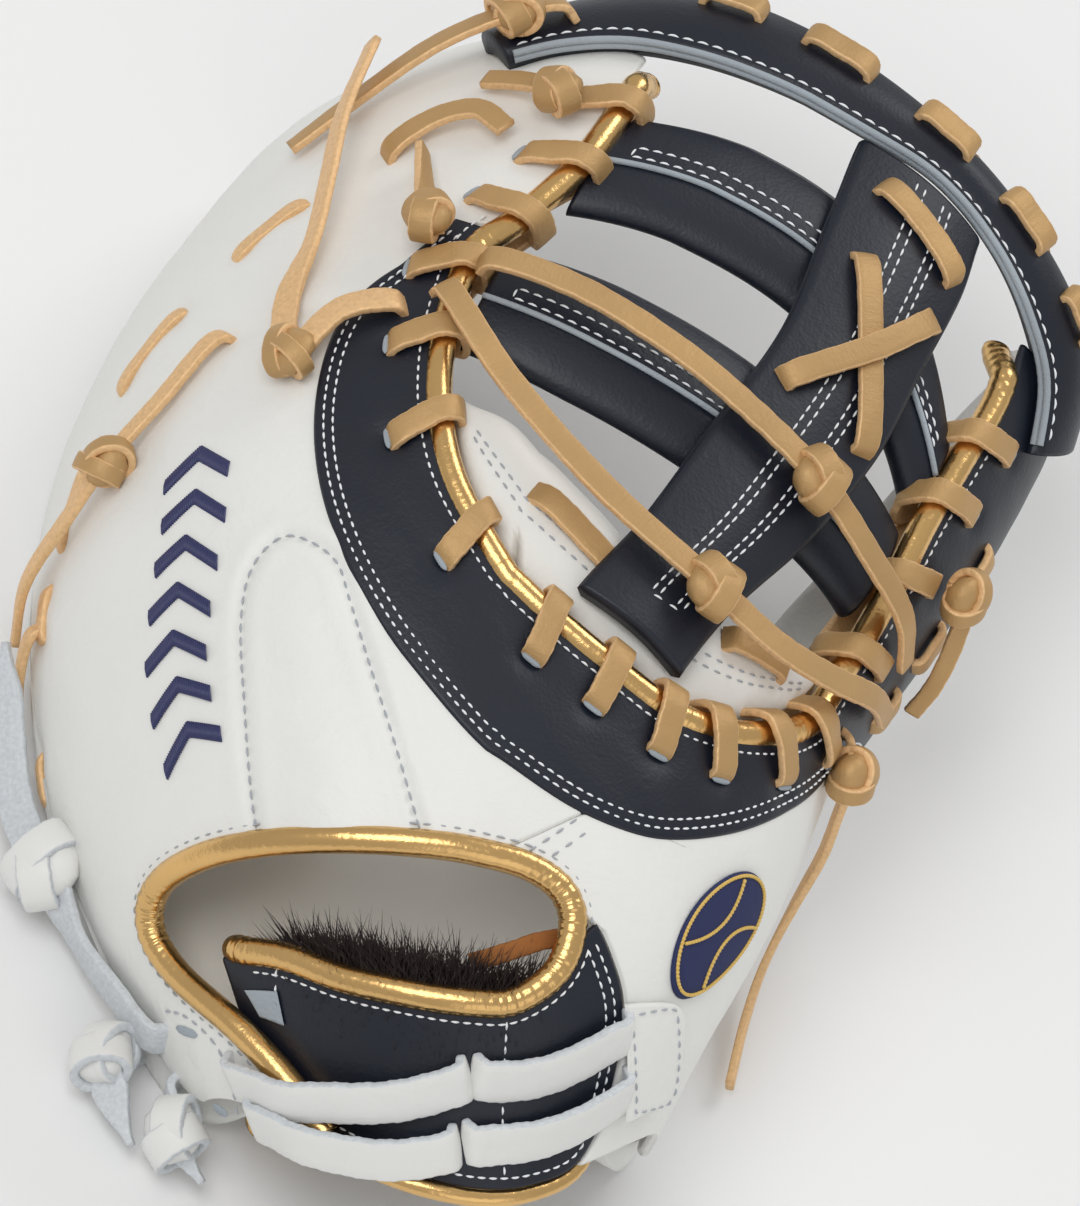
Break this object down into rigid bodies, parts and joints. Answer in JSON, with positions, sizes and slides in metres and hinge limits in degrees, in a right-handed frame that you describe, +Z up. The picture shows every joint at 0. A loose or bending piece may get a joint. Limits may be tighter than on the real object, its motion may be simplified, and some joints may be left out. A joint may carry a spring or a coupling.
{
  "type": "baseball mitt",
  "caption": "First baseman mitt for the left hand in white and navy leather with gold binding and lace, lying pocket down, with a barred web and a fur-lined wrist opening.",
  "frame": {"origin": "on the surface the mitt lies on, at the middle of the heel's flat underside", "axes": "+Y from the heel towards the top of the web, +X towards the thumb, +Z up out of the surface through the back of the mitt"},
  "size_m": [0.2566, 0.3118, 0.1129],
  "materials": {
    "white_leather": "smooth grained white leather, satin",
    "palm_leather": "thick padded white leather, satin",
    "navy_leather": "pebbled navy leather, satin",
    "gold_binding": "metallic gold foil on thin leather, glossy, fine wrinkles",
    "gold_lace": "metallic gold grain face with tan suede edges, satin",
    "white_lace": "smooth white leather with fuzzy cut edges, satin",
    "fur": "dark brown synthetic fur, matte",
    "patch_cloth": "embroidered cloth patch, matte with satin thread"
  },
  "bodies": {
    "root": {"palm_shell": "palm_leather", "finger_back": "white_leather", "thumb_back": "white_leather", "crotch_panel": "navy_leather", "wrist_strap": "navy_leather", "web_binding": "gold_binding", "cuff_binding": "gold_binding", "heel_binding": "gold_binding", "web_bar_upper": "navy_leather", "web_bar_middle": "navy_leather", "web_bar_foot": "white_leather", "web_post": "navy_leather", "top_band": "navy_leather", "fur_lining": "fur", "lacing_strap_upper": "white_lace", "lacing_strap_lower": "white_lace", "strap_tab": "white_lace", "oval_patch": "patch_cloth", "crotch_lace": "gold_lace", "finger_lace": "gold_lace", "thumb_lace": "gold_lace", "band_lace": "gold_lace", "tie_upper": "gold_lace", "tie_lower": "gold_lace", "tip_tie": "gold_lace", "tip_loop": "gold_lace", "tip_short_tie": "gold_lace", "tip_upright_tie": "gold_lace", "finger_tie": "gold_lace", "side_tie": "gold_lace", "side_tail": "gold_lace", "thumb_tie": "gold_lace", "thumb_side_tie": "gold_lace", "heel_side_tie": "white_lace", "heel_outer_tie": "white_lace", "heel_inner_tie": "white_lace", "post_cross_down": "gold_lace", "post_cross_up": "gold_lace", "post_tip_lace": "gold_lace", "foot_bar_lace": "gold_lace"}
  },
  "joints": []
}
